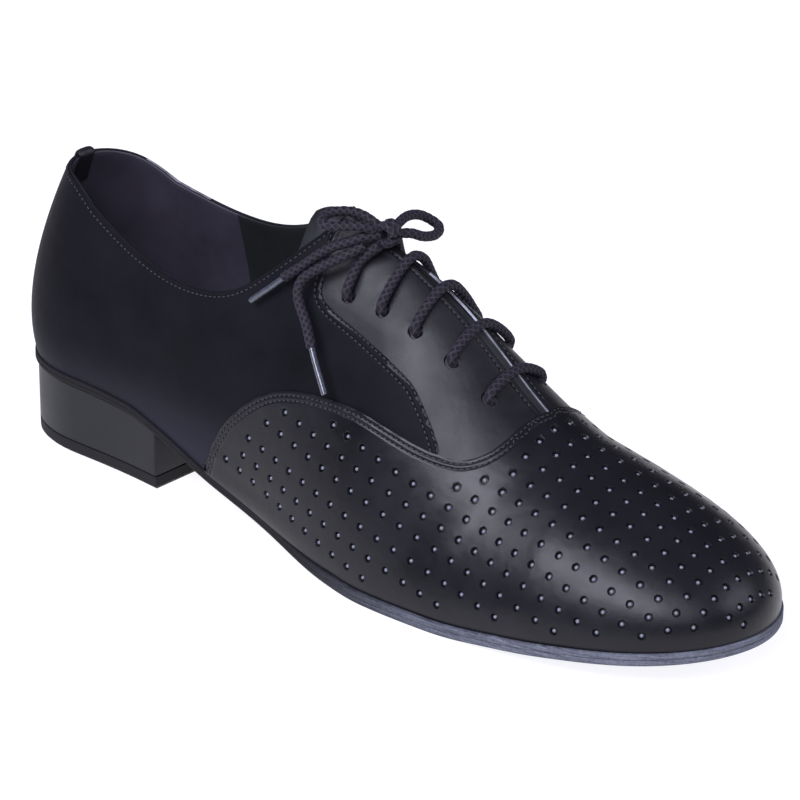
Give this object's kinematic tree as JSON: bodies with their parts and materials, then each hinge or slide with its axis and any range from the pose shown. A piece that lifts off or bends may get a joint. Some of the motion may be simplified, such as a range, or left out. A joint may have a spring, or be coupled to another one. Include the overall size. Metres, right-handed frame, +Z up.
{
  "type": "ballroom dance shoe",
  "caption": "Right ballroom dance shoe in smooth black leather: closed lacing over a tongue, perforated vamp with winged rear edge, thin flexible sole and low block heel.",
  "frame": {"origin": "on the floor under the centre of the heel, in the heel's flat tread", "axes": "+X towards the toe, +Y to the inner (medial) side, +Z up, standing on heel and forefoot"},
  "size_m": [0.2888, 0.0952, 0.1113],
  "materials": {
    "upper_leather": "smooth satin black calf",
    "sole_edge": "grey raw edge, layered",
    "insole_leather": "matt lining leather",
    "heel_block": "satin black lacquer",
    "top_piece": "grey suede",
    "tongue_leather": "satin",
    "lace": "round braid",
    "aglet": "clear film over the braid"
  },
  "bodies": {
    "root": {"upper": "upper_leather", "outsole": "sole_edge", "insole": "insole_leather", "heel": "heel_block", "top_piece": "top_piece", "tongue": "tongue_leather", "lace_bar_2": "lace", "lace_bar_3": "lace", "lace_bar_4": "lace", "lace_bar_5": "lace", "lace_rise_lateral": "lace", "lace_rise_medial": "lace", "lace_knot": "lace", "lace_loop_lateral": "lace", "lace_loop_medial": "lace", "lace_end_upper": "lace", "lace_end_lower": "lace", "aglet_upper": "aglet", "aglet_lower": "aglet"}
  },
  "joints": []
}
